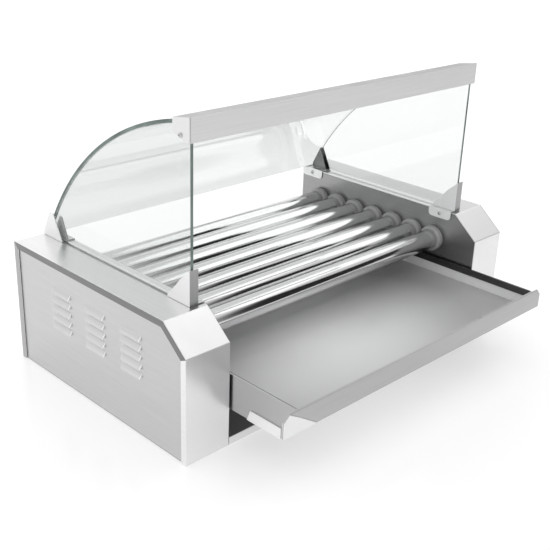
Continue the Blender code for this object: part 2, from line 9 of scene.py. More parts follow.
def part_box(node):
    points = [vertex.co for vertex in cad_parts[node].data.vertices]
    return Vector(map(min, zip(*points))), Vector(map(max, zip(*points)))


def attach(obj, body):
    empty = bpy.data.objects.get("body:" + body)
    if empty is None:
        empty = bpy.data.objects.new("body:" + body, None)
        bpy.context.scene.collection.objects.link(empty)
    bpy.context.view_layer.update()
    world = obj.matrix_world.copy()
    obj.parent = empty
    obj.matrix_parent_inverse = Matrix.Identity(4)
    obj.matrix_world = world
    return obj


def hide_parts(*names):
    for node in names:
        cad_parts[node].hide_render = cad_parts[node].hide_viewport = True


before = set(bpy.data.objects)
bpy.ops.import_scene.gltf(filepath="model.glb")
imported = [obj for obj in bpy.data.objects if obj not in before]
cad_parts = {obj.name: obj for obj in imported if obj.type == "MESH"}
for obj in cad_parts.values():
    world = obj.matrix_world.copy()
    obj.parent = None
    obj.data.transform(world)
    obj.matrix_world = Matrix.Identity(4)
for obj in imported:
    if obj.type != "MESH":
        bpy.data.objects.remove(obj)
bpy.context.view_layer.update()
MM = 0.001
ROOT = "casing"
SIDES = (("left", -1), ("right", 1))

# Housings: the slope at the top front corner, and the width of the border strips
CHAMFER = 37.4 * MM
CHAMFER_RISE = 31 * MM
BORDER = 8 * MM

# Louvres: where each column starts, from back to front, and how its rows are spaced
LOUVRE_LENGTH = 37 * MM
LOUVRE_HEIGHT = 8.6 * MM
LOUVRE_DEPTH = 3.6 * MM
LOUVRE_SHEET = 0.8 * MM
LOUVRE_STARTS = (47.7 * MM, -20.6 * MM, -88.8 * MM)
LOUVRE_TOP = 124 * MM
LOUVRE_PITCH = 11.6 * MM
LOUVRE_ROWS = 5

# Hood: the centre and outer radius of the bent pane's arc, as (Y, Z)
HOOD_CENTRE = (-166 * MM, 5 * MM)
HOOD_RADIUS = 363 * MM

# Tray: the lower edge of its front, and where the painted-shade band along its rim begins and ends
TRAY_FRONT_BOTTOM = 63.3 * MM
TRAY_RIM_START = 81 * MM
TRAY_RIM_TOP = 90.25 * MM

# Controls on the right side panel's face
CONTROL_FACE = 288.5 * MM


# --- materials ---------------------------------------------------------------

def new_material(name):
    """A material with an empty Principled shader; returns it with its tree and shader."""
    made = bpy.data.materials.new(name)
    made.use_nodes = True
    tree = made.node_tree
    return made, tree, tree.nodes["Principled BSDF"]


def add(tree, kind, **values):
    """A node with some of its inputs or properties set."""
    node = tree.nodes.new(kind)
    for key, value in values.items():
        if hasattr(node, key):
            setattr(node, key, value)
        else:
            node.inputs[key.replace("_", " ")].default_value = value
    return node


def coords(tree, scale):
    """Object coordinates, stretched by a scale along each axis."""
    place = add(tree, "ShaderNodeTexCoord")
    move = add(tree, "ShaderNodeMapping")
    move.inputs["Scale"].default_value = scale
    tree.links.new(place.outputs["Object"], move.inputs["Vector"])
    return move.outputs["Vector"]


def noise(tree, scale, detail=3.0, rough=0.55):
    """Noise over the stretched object coordinates."""
    node = add(tree, "ShaderNodeTexNoise", Scale=1.0, Detail=detail, Roughness=rough)
    tree.links.new(coords(tree, scale), node.inputs["Vector"])
    return node.outputs["Fac"]


def ramp(tree, source, low, high, start=0.3, stop=0.7):
    """A colour or grey value that follows a factor."""
    node = add(tree, "ShaderNodeValToRGB")
    first, last = node.color_ramp.elements
    first.position, last.position = start, stop
    first.color = (*low, 1.0) if isinstance(low, tuple) else (low, low, low, 1.0)
    last.color = (*high, 1.0) if isinstance(high, tuple) else (high, high, high, 1.0)
    tree.links.new(source, node.inputs["Fac"])
    return node.outputs["Color"]


def bump(tree, source, shader, strength, distance):
    """Roughen the surface's normal by a factor."""
    node = add(tree, "ShaderNodeBump", Strength=strength, Distance=distance)
    tree.links.new(source, node.inputs["Height"])
    tree.links.new(node.outputs["Normal"], shader.inputs["Normal"])


def grey(value):
    return (value, value, value * 1.006)


def steel(name, along, colour, rough, streak=0.035, grain=0.05, metal=1.0):
    """Brushed steel, with its brushing along one axis."""
    made, tree, shader = new_material(name)
    fine = [2600.0] * 3
    fine[along] = 14.0
    broad = [26.0] * 3
    broad[along] = 3.0
    lines = noise(tree, fine, 2.0)
    cloud = noise(tree, broad, 3.0)
    tint = ramp(tree, lines, grey(colour - streak), grey(colour + streak))
    tree.links.new(tint, shader.inputs["Base Color"])
    tree.links.new(ramp(tree, cloud, rough - 0.03, rough + 0.05), shader.inputs["Roughness"])
    shader.inputs["Metallic"].default_value = metal
    bump(tree, lines, shader, grain, 0.0002)
    return made


def plastic(name, low, high, rough, pits=0.12, coat=0.0):
    """Moulded plastic with a fine grain."""
    made, tree, shader = new_material(name)
    cloud = noise(tree, (60.0, 60.0, 60.0), 3.0)
    tree.links.new(ramp(tree, cloud, low, high), shader.inputs["Base Color"])
    grain = noise(tree, (1400.0, 1400.0, 1400.0), 2.0)
    tree.links.new(ramp(tree, grain, rough - 0.06, rough + 0.06), shader.inputs["Roughness"])
    shader.inputs["Coat Weight"].default_value = coat
    bump(tree, grain, shader, pits, 0.0003)
    return made


def clear_glass(name, tint):
    """Clear glass that lets the lamps' light through."""
    made, tree, shader = new_material(name)
    shader.inputs["Base Color"].default_value = (*tint, 1.0)
    shader.inputs["Transmission Weight"].default_value = 1.0
    shader.inputs["IOR"].default_value = 1.45
    shader.inputs["Specular IOR Level"].default_value = 0.1
    smears = noise(tree, (9.0, 9.0, 9.0), 3.0)
    tree.links.new(ramp(tree, smears, 0.0, 0.012), shader.inputs["Roughness"])
    out = tree.nodes["Material Output"]
    path = add(tree, "ShaderNodeLightPath")
    open_glass = add(tree, "ShaderNodeBsdfTransparent")
    open_glass.inputs["Color"].default_value = (0.95, 0.97, 0.96, 1.0)
    mix = add(tree, "ShaderNodeMixShader")
    tree.links.new(path.outputs["Is Shadow Ray"], mix.inputs[0])
    tree.links.new(shader.outputs[0], mix.inputs[1])
    tree.links.new(open_glass.outputs[0], mix.inputs[2])
    tree.links.new(mix.outputs[0], out.inputs["Surface"])
    return made


def glass_rim(name, low, high):
    """The ground edge of the glass, where it looks grey-green."""
    made, tree, shader = new_material(name)
    shade = noise(tree, (30.0, 30.0, 30.0), 2.0)
    tree.links.new(ramp(tree, shade, low, high), shader.inputs["Base Color"])
    fine = noise(tree, (900.0, 900.0, 900.0), 2.0)
    tree.links.new(ramp(tree, fine, 0.1, 0.25), shader.inputs["Roughness"])
    return made


def polished(name):
    """Polished roller steel, with fine grinding rings around the roller."""
    made, tree, shader = new_material(name)
    rings = noise(tree, (1500.0, 6.0, 6.0), 3.0)
    tree.links.new(ramp(tree, rings, grey(0.68), grey(0.8)), shader.inputs["Base Color"])
    cloud = noise(tree, (14.0, 60.0, 60.0), 3.0)
    tree.links.new(ramp(tree, cloud, 0.1, 0.16), shader.inputs["Roughness"])
    shader.inputs["Metallic"].default_value = 1.0
    bump(tree, rings, shader, 0.04, 0.0002)
    return made


def tray_steel_with_painted_reflection(name):
    """Sheet steel with painted reflection and shade: brighter in the middle of the tray, darker along its
    edges.
    """
    made = steel(name, 1, 0.9, 0.3, 0.03, metal=0.1)
    tree = made.node_tree
    shader = tree.nodes["Principled BSDF"]
    place = add(tree, "ShaderNodeTexCoord")
    move = add(tree, "ShaderNodeMapping")
    move.inputs["Location"].default_value = (0.22, 0.75, 0.0)
    move.inputs["Scale"].default_value = (4.4, 5.6, 0.0)
    tree.links.new(place.outputs["Object"], move.inputs["Vector"])
    reach = add(tree, "ShaderNodeVectorMath", operation="LENGTH")
    tree.links.new(move.outputs["Vector"], reach.inputs[0])
    # Painted reflection and shade: the base colour falls from bright in the middle to dark at the edges.
    tint = ramp(tree, reach.outputs["Value"], grey(0.97), grey(0.5), 0.1, 1.25)
    tree.links.new(tint, shader.inputs["Base Color"])
    return made


STEEL_X = steel("steel_brushed_along_x", 0, 0.7, 0.3)
STEEL_Y = steel("steel_brushed_along_y", 1, 0.57, 0.32)
STEEL_SHELL = steel("steel_shell", 1, 0.85, 0.3)
# Painted shade: the inner walls' steel is much darker than the shell's, standing in for the shade inside
# the housings.
STEEL_WALL_PAINTED_SHADE = steel("steel_inner_wall_painted_shade", 1, 0.33, 0.3, 0.03)
STEEL_TRAY_PAINTED_REFLECTION = tray_steel_with_painted_reflection("steel_tray_painted_reflection")
STEEL_GLINT = steel("steel_glint", 1, 0.95, 0.36, 0.02, metal=0.0)
STEEL_DULL = steel("steel_dull", 0, 0.4, 0.45)
# Painted shadow: near-black steel for the sheet behind the louvres and the bands along the tray's rims.
STEEL_PAINTED_SHADOW = steel("steel_shadow_gap", 1, 0.1, 0.4, 0.02)
ROLLER = polished("steel_polished_roller")
SCREW = steel("steel_screw", 2, 0.6, 0.25)
STEEL_SHADE = steel("steel_border_shade", 1, 0.22, 0.34, 0.02)
# Painted shade: a mid-grey copy of the steel for faces that turn away from the light.
STEEL_PAINTED_MID_SHADE = steel("steel_painted_mid_shade", 2, 0.42, 0.34, 0.02)
# Painted highlight: a lighter copy of the steel for faces and sheets that catch the light.
STEEL_PAINTED_HIGHLIGHT = steel("steel_painted_highlight", 1, 0.94, 0.36, 0.03, metal=0.3)
# Painted shade: a darker copy of the steel for the tray's front strip and its left outer side.
STEEL_STRIP_PAINTED_SHADE = steel("steel_front_strip_painted_shade", 0, 0.48, 0.34, 0.03)
COLLAR = plastic("collar_grey", (0.33, 0.33, 0.33), (0.4, 0.4, 0.4), 0.42)
BLACK = plastic("plastic_black", (0.012, 0.012, 0.013), (0.03, 0.03, 0.03), 0.42)
RED = plastic("plastic_red", (0.5, 0.012, 0.008), (0.62, 0.03, 0.02), 0.25, 0.02, 0.6)
WHITE = plastic("print_white", (0.75, 0.75, 0.74), (0.85, 0.85, 0.84), 0.5)
PAINT = plastic("paint_grey", (0.16, 0.17, 0.18), (0.22, 0.23, 0.24), 0.5)
GLASS = clear_glass("glass_clear", (0.84, 0.855, 0.848))
GLASS_EDGE = glass_rim("glass_edge", (0.085, 0.12, 0.105), (0.2, 0.26, 0.235))


# --- mesh helpers ------------------------------------------------------------

def link(name, mesh, finishes):
    """Put a mesh in the scene as a piece of the object."""
    piece = bpy.data.objects.new(name, mesh)
    bpy.context.scene.collection.objects.link(piece)
    for finish in finishes if isinstance(finishes, (list, tuple)) else [finishes]:
        mesh.materials.append(finish)
    return piece


def mount(piece, body, replaced=()):
    """Ride on a body, and stand for CAD nodes, which are hidden."""
    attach(piece, body)
    if replaced:
        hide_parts(*replaced)
    return piece


def soften(piece, width, segments=2, angle=30.0, weld=False):
    """Round the sharp edges of a piece a little; a welded CAD node keeps flat faces."""
    if weld:
        join = piece.modifiers.new("weld", "WELD")
        join.merge_threshold = 0.00001
    edge = piece.modifiers.new("edge", "BEVEL")
    edge.width = width
    edge.segments = segments
    edge.limit_method = "ANGLE"
    edge.angle_limit = math.radians(angle)
    if weld:
        piece.data.shade_flat()
        return piece
    edge.harden_normals = True
    piece.data.shade_smooth()
    piece.data.set_sharp_from_angle(angle=math.radians(angle))
    return piece


def prism(name, outline, axis, low, high, finishes):
    """A closed outline, given in the other two axes, between two levels of one axis."""
    shape = bmesh.new()
    low, high = min(low, high), max(low, high)
    ends = []
    for level in (low, high):
        ring = []
        for a, b in outline:
            place = [a, b]
            place.insert(axis, level)
            ring.append(shape.verts.new(place))
        shape.faces.new(ring)
        ends.append(ring)
    for index, (a, b) in enumerate(zip(*ends)):
        shape.faces.new((a, ends[0][index - 1], ends[1][index - 1], b))
    bmesh.ops.recalc_face_normals(shape, faces=shape.faces)
    mesh = bpy.data.meshes.new(name)
    shape.to_mesh(mesh)
    shape.free()
    return link(name, mesh, finishes)


def box(name, low, high, finish):
    """A box, used as the start of a part."""
    (x0, y0, z0), (x1, y1, z1) = low, high
    return prism(name, [(y0, z0), (y1, z0), (y1, z1), (y0, z1)], 0, x0, x1, finish)


def turned(name, profile, centre, axis, finish, segments=64, sharp=35.0):
    """A solid turned about a line; the profile is (place along the axis, radius)."""
    shape = bmesh.new()
    across = [i for i in range(3) if i != axis]
    rings = []
    for along, radius in profile:
        ring = []
        for step in range(segments if radius > 0 else 1):
            angle = 2 * math.pi * step / segments
            place = list(centre)
            place[axis] = centre[axis] + along
            place[across[0]] += radius * math.cos(angle)
            place[across[1]] += radius * math.sin(angle)
            ring.append(shape.verts.new(place))
        rings.append(ring)
    for ring, following in zip(rings, rings[1:] + rings[:1]):
        if len(ring) == 1 and len(following) == 1:
            continue
        for step in range(segments):
            after = (step + 1) % segments
            if len(ring) == 1:
                shape.faces.new((ring[0], following[after], following[step]))
            elif len(following) == 1:
                shape.faces.new((ring[step], ring[after], following[0]))
            else:
                shape.faces.new((ring[step], ring[after], following[after], following[step]))
    bmesh.ops.recalc_face_normals(shape, faces=shape.faces)
    mesh = bpy.data.meshes.new(name)
    shape.to_mesh(mesh)
    shape.free()
    mesh.shade_smooth()
    mesh.set_sharp_from_angle(angle=math.radians(sharp))
    return link(name, mesh, finish)


def combine(target, tools, operation):
    """Join pieces to the target, or cut them out of it."""
    for tool in tools:
        step = target.modifiers.new("combine", "BOOLEAN")
        step.operation = operation
        step.object = tool
        graph = bpy.context.evaluated_depsgraph_get()
        mesh = bpy.data.meshes.new_from_object(target.evaluated_get(graph))
        target.modifiers.clear()
        target.data = mesh
        bpy.data.objects.remove(tool, do_unlink=True)
    return target


def merged(name, parts, finish):
    """Several closed parts as one mesh."""
    shape = bmesh.new()
    for part in parts:
        shape.from_mesh(part.data)
        bpy.data.objects.remove(part, do_unlink=True)
    mesh = bpy.data.meshes.new(name)
    shape.to_mesh(mesh)
    shape.free()
    return link(name, mesh, finish)


# --- CAD nodes that stay, with a better finish -------------------------------

def keep(node, finish, width=0.35 * MM):
    """Show a CAD node as it is, with softened edges and a procedural finish."""
    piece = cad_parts[node]
    piece.data.materials.clear()
    piece.data.materials.append(finish)
    if width:
        soften(piece, width, weld=True)
    return piece


for side, _ in SIDES:
    keep(f"{side}_shell", STEEL_SHELL, 0.5 * MM)
    # The inner walls take the painted-shade steel.
    keep(f"{side}_inner_wall", STEEL_WALL_PAINTED_SHADE, 0.0)
    keep(f"{side}_front_bracket", STEEL_X, 0.25 * MM)
    keep(f"{side}_back_bracket", STEEL_X, 0.25 * MM)
    keep(f"{side}_bar_cap", STEEL_X, 0.25 * MM)
keep("right_side_panel", STEEL_Y, 0.0)
keep("base_pan", STEEL_DULL, 0.3 * MM)
keep("back_panel", STEEL_X, 0.4 * MM)
keep("top_bar", STEEL_X, 0.0)
keep("drip_tray", STEEL_TRAY_PAINTED_REFLECTION, 0.3 * MM)
for node in ("drive_chain", "drive_sprocket", "heater_bank", *(f"sprocket_{i}" for i in range(1, 8))):
    keep(node, STEEL_DULL, 0.0)
for node in ("gear_motor", "thermostat_block"):
    keep(node, PAINT, 0.8 * MM)
for node in ("switch_frame_1", "switch_frame_2"):
    keep(node, BLACK, 0.4 * MM)
for node in ("switch_rocker_1", "switch_rocker_2"):
    keep(node, RED, 0.8 * MM)


def repaint(node, finish, test):
    """Give the faces of a kept CAD node that pass a test another finish."""
    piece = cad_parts[node]
    piece.data.materials.append(finish)
    for face in piece.data.polygons:
        if test(face):
            face.material_index = len(piece.data.materials) - 1


# Painted light: the base pan's front lip gets the lighter shell steel, and the rest of the pan keeps the
# dull steel.
repaint("base_pan", STEEL_SHELL, lambda face: face.center.y < -165 * MM)
# Painted light on the brackets: faces turned sideways get the painted-highlight steel, and faces turned to
# the front get the painted mid shade.
for side, _ in SIDES:
    for place in ("front", "back"):
        repaint(f"{side}_{place}_bracket", STEEL_PAINTED_HIGHLIGHT, lambda face: abs(face.normal.x) > 0.9)
        repaint(f"{side}_{place}_bracket", STEEL_PAINTED_MID_SHADE, lambda face: face.normal.y < -0.9)
# Painted shade: the tray's left outer side gets the darker strip steel.
repaint("drip_tray", STEEL_STRIP_PAINTED_SHADE, lambda face: face.normal.x < -0.9 and face.center.x < -220 * MM)
# Painted light: the inner walls' top faces get the shell's lighter steel, and their sides keep the
# painted-shade steel.
for side, _ in SIDES:
    repaint(f"{side}_inner_wall", STEEL_SHELL, lambda face: face.normal.z > 0.7)
# Painted shade: the bar's top faces get the mid-grey steel.
repaint("top_bar", STEEL_PAINTED_MID_SHADE, lambda face: face.normal.z > 0.7)
repaint("right_back_bracket", STEEL_SHADE, lambda face: face.center.z > 168 * MM)

# --- rollers and collars -----------------------------------------------------

def make_roller(index):
    """One polished tube with turned-down journals and a rounded shoulder."""
    low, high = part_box(f"roller_{index}")
    centre = ((low.x + high.x) / 2, (low.y + high.y) / 2, (low.z + high.z) / 2)
    radius = (high.z - low.z) / 2
    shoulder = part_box(f"right_bushing_{index}")[0].x - centre[0] - 0.3 * MM
    end, journal, bore = high.x - centre[0], radius - 4 * MM, radius - 5.4 * MM
    half = [(end, bore), (end, journal - 0.4 * MM), (end - 0.4 * MM, journal), (shoulder, journal)]
    half += [(shoulder, radius - 0.8 * MM), (shoulder - 0.25 * MM, radius - 0.25 * MM)]
    half += [(shoulder - 0.8 * MM, radius)]
    profile = half + [(-along, r) for along, r in half[::-1]]
    piece = turned(f"roller_tube_{index}", profile, (0.0, 0.0, 0.0), 0, ROLLER, 96)
    piece.location = centre
    bpy.context.view_layer.update()
    mount(piece, f"roller_{index}", [f"roller_{index}"])


def make_collar(side, index):
    """The round collar a roller runs in, with rolled edges."""
    node = f"{side}_bushing_{index}"
    low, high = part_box(node)
    sign = 1 if side == "right" else -1
    centre = (0.0, (low.y + high.y) / 2, (low.z + high.z) / 2)
    radius = (high.z - low.z) / 2
    face = min(abs(low.x), abs(high.x))
    far = max(abs(low.x), abs(high.x))
    bore, neck = 10.3 * MM, 13 * MM
    wall = far - 4.3 * MM
    profile = [(far, bore), (far, neck), (wall, neck), (wall, radius - 0.6 * MM), (wall - 0.6 * MM, radius)]
    for step in range(7):
        angle = math.radians(15 * step)
        along = face + 3 * MM - 3 * MM * math.sin(angle)
        profile.append((along, radius - 3.5 * MM + 3.5 * MM * math.cos(angle)))
    profile += [(face, bore + 0.6 * MM), (face + 0.6 * MM, bore)]
    profile = [(sign * along, r) for along, r in profile]
    piece = turned(f"{side}_collar_{index}", profile, centre, 0, COLLAR, 56)
    mount(piece, ROOT, [node])


for roller in range(1, 8):
    make_roller(roller)
    make_collar("left", roller)
    make_collar("right", roller)


# --- louvred side panel ------------------------------------------------------

def louvre(y_start, z_mid, face):
    """One pressed louvre: a thin hood, closed at the top and ends, open below."""
    steps = [0.0, 0.006, 0.014, 0.026, 0.042, 0.062, 0.09, 0.2, 0.35]
    steps += [0.5] + [1 - step for step in steps[::-1]]
    across, down = len(steps) - 1, 8
    shape = bmesh.new()
    layers = []
    for shrink in (0.0, LOUVRE_SHEET):
        rows = []
        for j in range(down + 1):
            v = j / down
            row = []
            for i in range(across + 1):
                u = steps[i]
                ends = min(u, 1 - u) * LOUVRE_LENGTH / (2.4 * MM)
                swell = math.sqrt(max(0.0, 1 - (1 - min(ends, 1.0)) ** 2))
                fall = 1 - (1 - v) ** 1.6
                out = LOUVRE_DEPTH * swell * fall - shrink
                y = y_start + u * LOUVRE_LENGTH
                z = z_mid + LOUVRE_HEIGHT * (0.5 - v * (0.35 + 0.65 * swell))
                row.append(shape.verts.new((face - out, y, z + shrink * 0.4)))
            rows.append(row)
        layers.append(rows)
    outer, inner = layers
    for j in range(down):
        for i in range(across):
            shape.faces.new((outer[j][i], outer[j][i + 1], outer[j + 1][i + 1], outer[j + 1][i]))
            shape.faces.new((inner[j][i], inner[j + 1][i], inner[j + 1][i + 1], inner[j][i + 1]))
    border = [(0, i) for i in range(across)] + [(j, across) for j in range(down)]
    border += [(down, across - i) for i in range(across)] + [(down - j, 0) for j in range(down)]
    for (a, b), (c, d) in zip(border, border[1:] + border[:1]):
        shape.faces.new((outer[a][b], inner[a][b], inner[c][d], outer[c][d]))
    bmesh.ops.recalc_face_normals(shape, faces=shape.faces)
    mesh = bpy.data.meshes.new("louvre")
    shape.to_mesh(mesh)
    shape.free()
    return link("louvre", mesh, STEEL_Y)


def make_louvred_panel():
    """The left side panel with three columns of five louvres over open slots, painted highlights on the
    louvres' front ends, and a painted-shadow sheet behind the slots.
    """
    shell_low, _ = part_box("left_shell")
    panel_low, panel_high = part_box("left_side_panel")
    front, top = panel_low.y, panel_high.z
    chamfer, rise = CHAMFER - 0.5 * MM, CHAMFER_RISE - 0.4 * MM
    face = shell_low.x + 1.5 * MM
    outline = [(front, panel_low.z), (panel_high.y, panel_low.z), (panel_high.y, top)]
    outline += [(front + chamfer, top), (front, top - rise)]
    panel = prism("louvred_panel", outline, 0, face, face + 1.2 * MM, STEEL_Y)
    slots, hoods = [], []
    for y_start in LOUVRE_STARTS:
        for row in range(LOUVRE_ROWS):
            z = LOUVRE_TOP - row * LOUVRE_PITCH
            low = (face - 5 * MM, y_start + 2.6 * MM, z - 4 * MM)
            high = (face + 5 * MM, y_start + LOUVRE_LENGTH - 2.6 * MM, z - 0.6 * MM)
            slots.append(box("slot", low, high, STEEL_Y))
            hoods.append(louvre(y_start, z, face + 0.1 * MM))
    slots = merged("slots", slots, STEEL_Y)
    combine(panel, [slots], "DIFFERENCE")
    mount(panel, ROOT, ["left_side_panel"])
    hoods = merged("louvre_hoods", hoods, [STEEL_Y, STEEL_PAINTED_HIGHLIGHT])
    # Painted highlight: hood faces turned towards the front get the bright steel.
    for end in hoods.data.polygons:
        end.material_index = 1 if end.normal.y < -0.25 else 0
    hoods.data.shade_smooth()
    hoods.data.set_sharp_from_angle(angle=math.radians(50))
    mount(hoods, ROOT)
    # Painted shadow: a near-black sheet behind the slots stands in for the shade inside the housing.
    back = face + 9 * MM
    low = (back, -95 * MM, 68 * MM)
    shadow_sheet = box("louvre_painted_shadow_sheet", low, (back + 0.6 * MM, 92 * MM, 134 * MM), STEEL_PAINTED_SHADOW)
    mount(soften(shadow_sheet, 0.2 * MM), ROOT)


make_louvred_panel()


# --- glass hood --------------------------------------------------------------

def arc(radius, y_start, z_stop, steps=72):
    """Points along the hood's arc, from a Y at the top down to a Z at the back."""
    y0, z0 = HOOD_CENTRE
    first = math.acos((y_start - y0) / radius)
    last = math.asin((z_stop - z0) / radius)
    points = []
    for step in range(steps + 1):
        angle = first + (last - first) * step / steps
        points.append((y0 + radius * math.cos(angle), z0 + radius * math.sin(angle)))
    return points


def make_glass(name, node, outline, low, high, ground):
    """A pane with clear faces and grey-green ground edges, where a test says so."""
    piece = prism(name, outline, 0, low, high, [GLASS, GLASS_EDGE])
    for face in piece.data.polygons:
        face.material_index = int(ground(face))
    piece.data.shade_smooth()
    piece.data.set_sharp_from_angle(angle=math.radians(30))
    mount(piece, ROOT, [node])


def make_hood():
    """The bent pane and the two flat side panes."""
    low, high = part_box("curved_glass")
    front, bottom = low.y, low.z
    outer = arc(HOOD_RADIUS, front, bottom)
    pane_low, pane_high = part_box("left_side_glass")
    thick = pane_high.x - pane_low.x
    inner = arc(HOOD_RADIUS - thick, front, bottom)

    def bent_edge(face):
        """The bent pane's two ends and its lower edge."""
        return abs(face.normal.x) > 0.9 or face.center.z < bottom + 0.2 * MM

    def flat_edge(face):
        """A side pane's edges, apart from the one it stands on."""
        return abs(face.normal.x) <= 0.9 and face.normal.z >= -0.9

    make_glass("hood_glass", "curved_glass", outer + inner[::-1], low.x, high.x, bent_edge)
    for side, _ in SIDES:
        low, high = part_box(f"{side}_side_glass")
        outline = arc(HOOD_RADIUS - 0.3 * MM - thick, front, bottom) + [(front, bottom)]
        make_glass(f"{side}_hood_pane", f"{side}_side_glass", outline, low.x, high.x, flat_edge)


make_hood()


# --- tray dressing -----------------------------------------------------------

def make_tray_dressing():
    """The tray's face strip in painted shade, its corner plate in painted highlight, painted-shade bands
    along its rims, painted-highlight strips on its walls, and side tabs in painted highlight.
    """
    low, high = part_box("drip_tray")
    face, end, top = low.y, high.x - 0.3 * MM, high.z - 0.5 * MM
    bottom = TRAY_FRONT_BOTTOM
    outline = [(-236 * MM, top), (-220 * MM, 80.4 * MM), (-194 * MM, bottom), (end, bottom)]
    outline += [(end, top - 8 * MM), (end - 8 * MM, top)]
    # Painted shade: the front strip is in a darker copy of the steel.
    strip = prism("tray_face_strip", outline, 1, face - 0.5 * MM, face, STEEL_STRIP_PAINTED_SHADE)
    mount(soften(strip, 0.15 * MM), "tray")
    # Painted highlight: a thin bright plate over the tray's front left corner.
    outline = [(-end, bottom), (-195 * MM, bottom), (-220.5 * MM, 80 * MM), (-236.5 * MM, top - 0.3 * MM)]
    outline += [(-end, top - 8 * MM)]
    plate = prism("tray_corner_painted_highlight", outline, 1, face - 1.1 * MM, face, STEEL_PAINTED_HIGHLIGHT)
    mount(soften(plate, 0.2 * MM), "tray")
    back = high.y - 2 * MM
    rim_low, rim_high = TRAY_RIM_START, TRAY_RIM_TOP
    wall_low, wall_high = 67.3 * MM, rim_low - 0.1 * MM
    for side, sign in SIDES:
        near, over = 223.2 * MM, (226.1 if side == "right" else 223.7) * MM
        # Painted shade: a near-black band along the top of each tray wall.
        rim = [(near, rim_low), (over, rim_low), (over, rim_high), (near, rim_high)]
        rim = [(sign * a, b) for a, b in rim]
        band = prism(f"tray_rim_painted_shade_{side}", rim, 1, face + 3 * MM, back, STEEL_PAINTED_SHADOW)
        mount(soften(band, 0.3 * MM), "tray")
        # Painted highlight: a pale, non-metallic strip on each tray wall's inner face.
        low_x, high_x = sign * 224.2 * MM, sign * 224.9 * MM
        wall = [(face + 2 * MM, wall_low), (back, wall_low), (back, wall_high), (face + 2 * MM, wall_high)]
        painted_highlight_strip = prism(f"tray_wall_painted_highlight_{side}", wall, 0, low_x, high_x, STEEL_GLINT)
        mount(soften(painted_highlight_strip, 0.15 * MM), "tray")
        # Painted highlight: the side tabs are in the bright copy of the steel.
        tab = [(-244.4, 45.9), (-193, 45.9), (-198, 59.2), (-244.4, 59.2)]
        tab = [(a * MM, b * MM) for a, b in tab]
        lug = prism(f"tray_tab_{side}", tab, 0, sign * 226.6 * MM, sign * 227.5 * MM, STEEL_PAINTED_HIGHLIGHT)
        mount(soften(lug, 0.2 * MM), "tray")


make_tray_dressing()


# --- housing borders ---------------------------------------------------------

def make_borders():
    """The folded border strips around the left and right side panels, in painted shade: darkest on top and
    chamfer, mid at the back, lightest at the front.
    """
    for side, sign in SIDES:
        low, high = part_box(f"{side}_shell")
        front, back, top = low.y, high.y, high.z
        face = sign * max(abs(low.x), abs(high.x))
        slope = math.hypot(CHAMFER, CHAMFER_RISE)
        step = BORDER * (slope - CHAMFER_RISE) / CHAMFER
        lean = BORDER * (slope - CHAMFER) / CHAMFER_RISE
        corner = (front + CHAMFER, top)
        corner_in = (front + CHAMFER + lean, top - BORDER)
        knee = (front, top - CHAMFER_RISE)
        knee_in = (front + BORDER, top - CHAMFER_RISE - step)
        bands = {
            "top": [(back, top), (back - BORDER, top - BORDER), corner_in, corner],
            "chamfer": [corner, corner_in, knee_in, knee],
            "front": [knee, knee_in, (front + BORDER, low.z), (front, low.z)],
            "back": [(back, low.z), (back - BORDER, low.z), (back - BORDER, top - BORDER), (back, top)],
        }
        # Painted shade: each band's steel is lighter or darker by how the light falls on it.
        finishes = {"top": STEEL_SHADE, "chamfer": STEEL_SHADE, "front": STEEL_SHELL, "back": STEEL_PAINTED_MID_SHADE}
        for place, outline in bands.items():
            finish = finishes[place]
            strip = prism(f"{side}_border_{place}", outline, 0, face, face + sign * 0.3 * MM, finish)
            mount(soften(strip, 0.1 * MM), ROOT)


make_borders()


# --- screws ------------------------------------------------------------------

def screw(name, centre, axis, sign, radius=3.2 * MM):
    """A pan-head screw with a cross recess, standing on a surface."""
    head = [(0, 0), (0, radius), (0.7 * MM, radius), (1.4 * MM, radius * 0.82), (1.9 * MM, radius * 0.5)]
    head += [(2.05 * MM, 0)]
    head = [(sign * along, r) for along, r in head]
    piece = turned(name, head, centre, axis, SCREW, 28)
    arms = []
    for turn in (0, 1):
        size = [0.45 * MM, 0.45 * MM, 0.45 * MM]
        across = [i for i in range(3) if i != axis]
        size[across[turn]] = radius * 0.6
        middle = list(centre)
        middle[axis] += sign * 1.9 * MM
        size[axis] = 0.9 * MM
        low = [m - s for m, s in zip(middle, size)]
        high = [m + s for m, s in zip(middle, size)]
        arms.append(box("arm", low, high, SCREW))
    combine(piece, arms, "DIFFERENCE")
    piece.data.set_sharp_from_angle(angle=math.radians(35))
    return mount(piece, ROOT)


def make_screws():
    """Screws in the brackets' tabs and in the bar's caps."""
    for side, sign in SIDES:
        edge = 227 * MM
        for place, y in (("front", -103 * MM), ("back", 144.5 * MM)):
            screw(f"{side}_{place}_tab_screw", (sign * edge, y, 156 * MM), 0, -sign, 2.8 * MM)
        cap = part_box(f"{side}_bar_cap")
        outer = max(abs(cap[0].x), abs(cap[1].x))
        screw(f"{side}_cap_screw", (sign * outer, -108 * MM, 347.5 * MM), 0, sign, 2.6 * MM)


make_screws()


# --- controls ----------------------------------------------------------------

